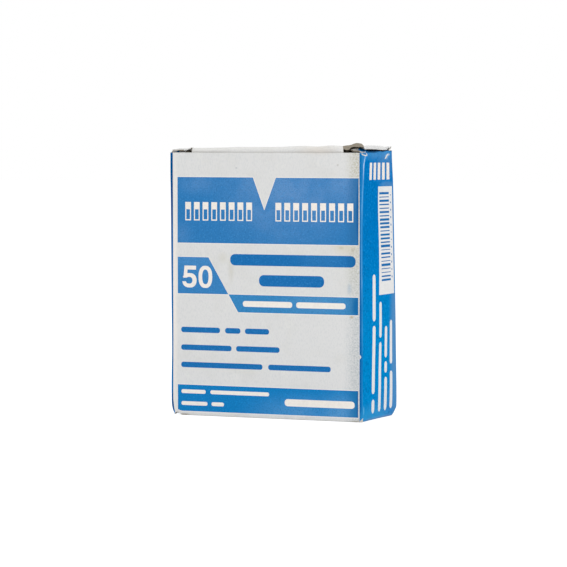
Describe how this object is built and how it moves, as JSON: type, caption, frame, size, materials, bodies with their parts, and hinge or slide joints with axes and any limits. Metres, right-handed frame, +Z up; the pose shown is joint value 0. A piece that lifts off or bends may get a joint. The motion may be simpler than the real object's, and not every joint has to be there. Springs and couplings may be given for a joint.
{
  "type": "carton of microscope slides",
  "caption": "Upright tuck-end paperboard carton in white and blue, filled with a row of frosted-end glass microscope slides; hinged lid and bottom.",
  "frame": {"origin": "middle of the base, in the plane the carton stands on", "axes": "+Z up, X along the width, the printed front panel faces -Y, the lid's hinge line is at +Y"},
  "size_m": [0.0636, 0.028, 0.083],
  "materials": {
    "printed_board": "satin printed paperboard, blue sides, white front panel with blue fields",
    "lid_board": "satin white coated paperboard, grey-brown raw edges",
    "slide_glass": "clear glass with ground edges and a white frosted end"
  },
  "bodies": {
    "carton": {"carton_body": "printed_board", "glass_slide_01": "slide_glass", "glass_slide_02": "slide_glass", "glass_slide_03": "slide_glass", "glass_slide_04": "slide_glass", "glass_slide_05": "slide_glass", "glass_slide_06": "slide_glass", "glass_slide_07": "slide_glass", "glass_slide_08": "slide_glass", "glass_slide_09": "slide_glass", "glass_slide_10": "slide_glass", "glass_slide_11": "slide_glass", "glass_slide_12": "slide_glass", "glass_slide_13": "slide_glass", "glass_slide_14": "slide_glass", "glass_slide_15": "slide_glass", "glass_slide_16": "slide_glass", "glass_slide_17": "slide_glass", "glass_slide_18": "slide_glass", "glass_slide_19": "slide_glass", "glass_slide_20": "slide_glass", "glass_slide_21": "slide_glass", "glass_slide_22": "slide_glass", "glass_slide_23": "slide_glass", "glass_slide_24": "slide_glass", "glass_slide_25": "slide_glass", "glass_slide_26": "slide_glass", "glass_slide_27": "slide_glass", "glass_slide_28": "slide_glass", "glass_slide_29": "slide_glass", "glass_slide_30": "slide_glass", "glass_slide_31": "slide_glass", "glass_slide_32": "slide_glass", "glass_slide_33": "slide_glass", "glass_slide_34": "slide_glass", "glass_slide_35": "slide_glass", "glass_slide_36": "slide_glass", "glass_slide_37": "slide_glass", "glass_slide_38": "slide_glass", "glass_slide_39": "slide_glass", "glass_slide_40": "slide_glass", "glass_slide_41": "slide_glass", "glass_slide_42": "slide_glass", "glass_slide_43": "slide_glass", "glass_slide_44": "slide_glass", "glass_slide_45": "slide_glass", "glass_slide_46": "slide_glass", "glass_slide_47": "slide_glass", "glass_slide_48": "slide_glass", "glass_slide_49": "slide_glass", "glass_slide_50": "slide_glass"},
    "lid": {"top_lid": "lid_board"},
    "bottom": {"bottom_closure": "lid_board"}
  },
  "joints": [
    {"name": "lid_hinge", "type": "hinge", "parent": "carton", "child": "lid", "pos_m": [0, 0.0138, 0.08282], "axis": [-1, 0, 0], "range_deg": [0, 175]},
    {"name": "bottom_hinge", "type": "hinge", "parent": "carton", "child": "bottom", "pos_m": [0, -0.0138, 0.0002], "axis": [-1, 0, 0], "range_deg": [0, 175]}
  ]
}
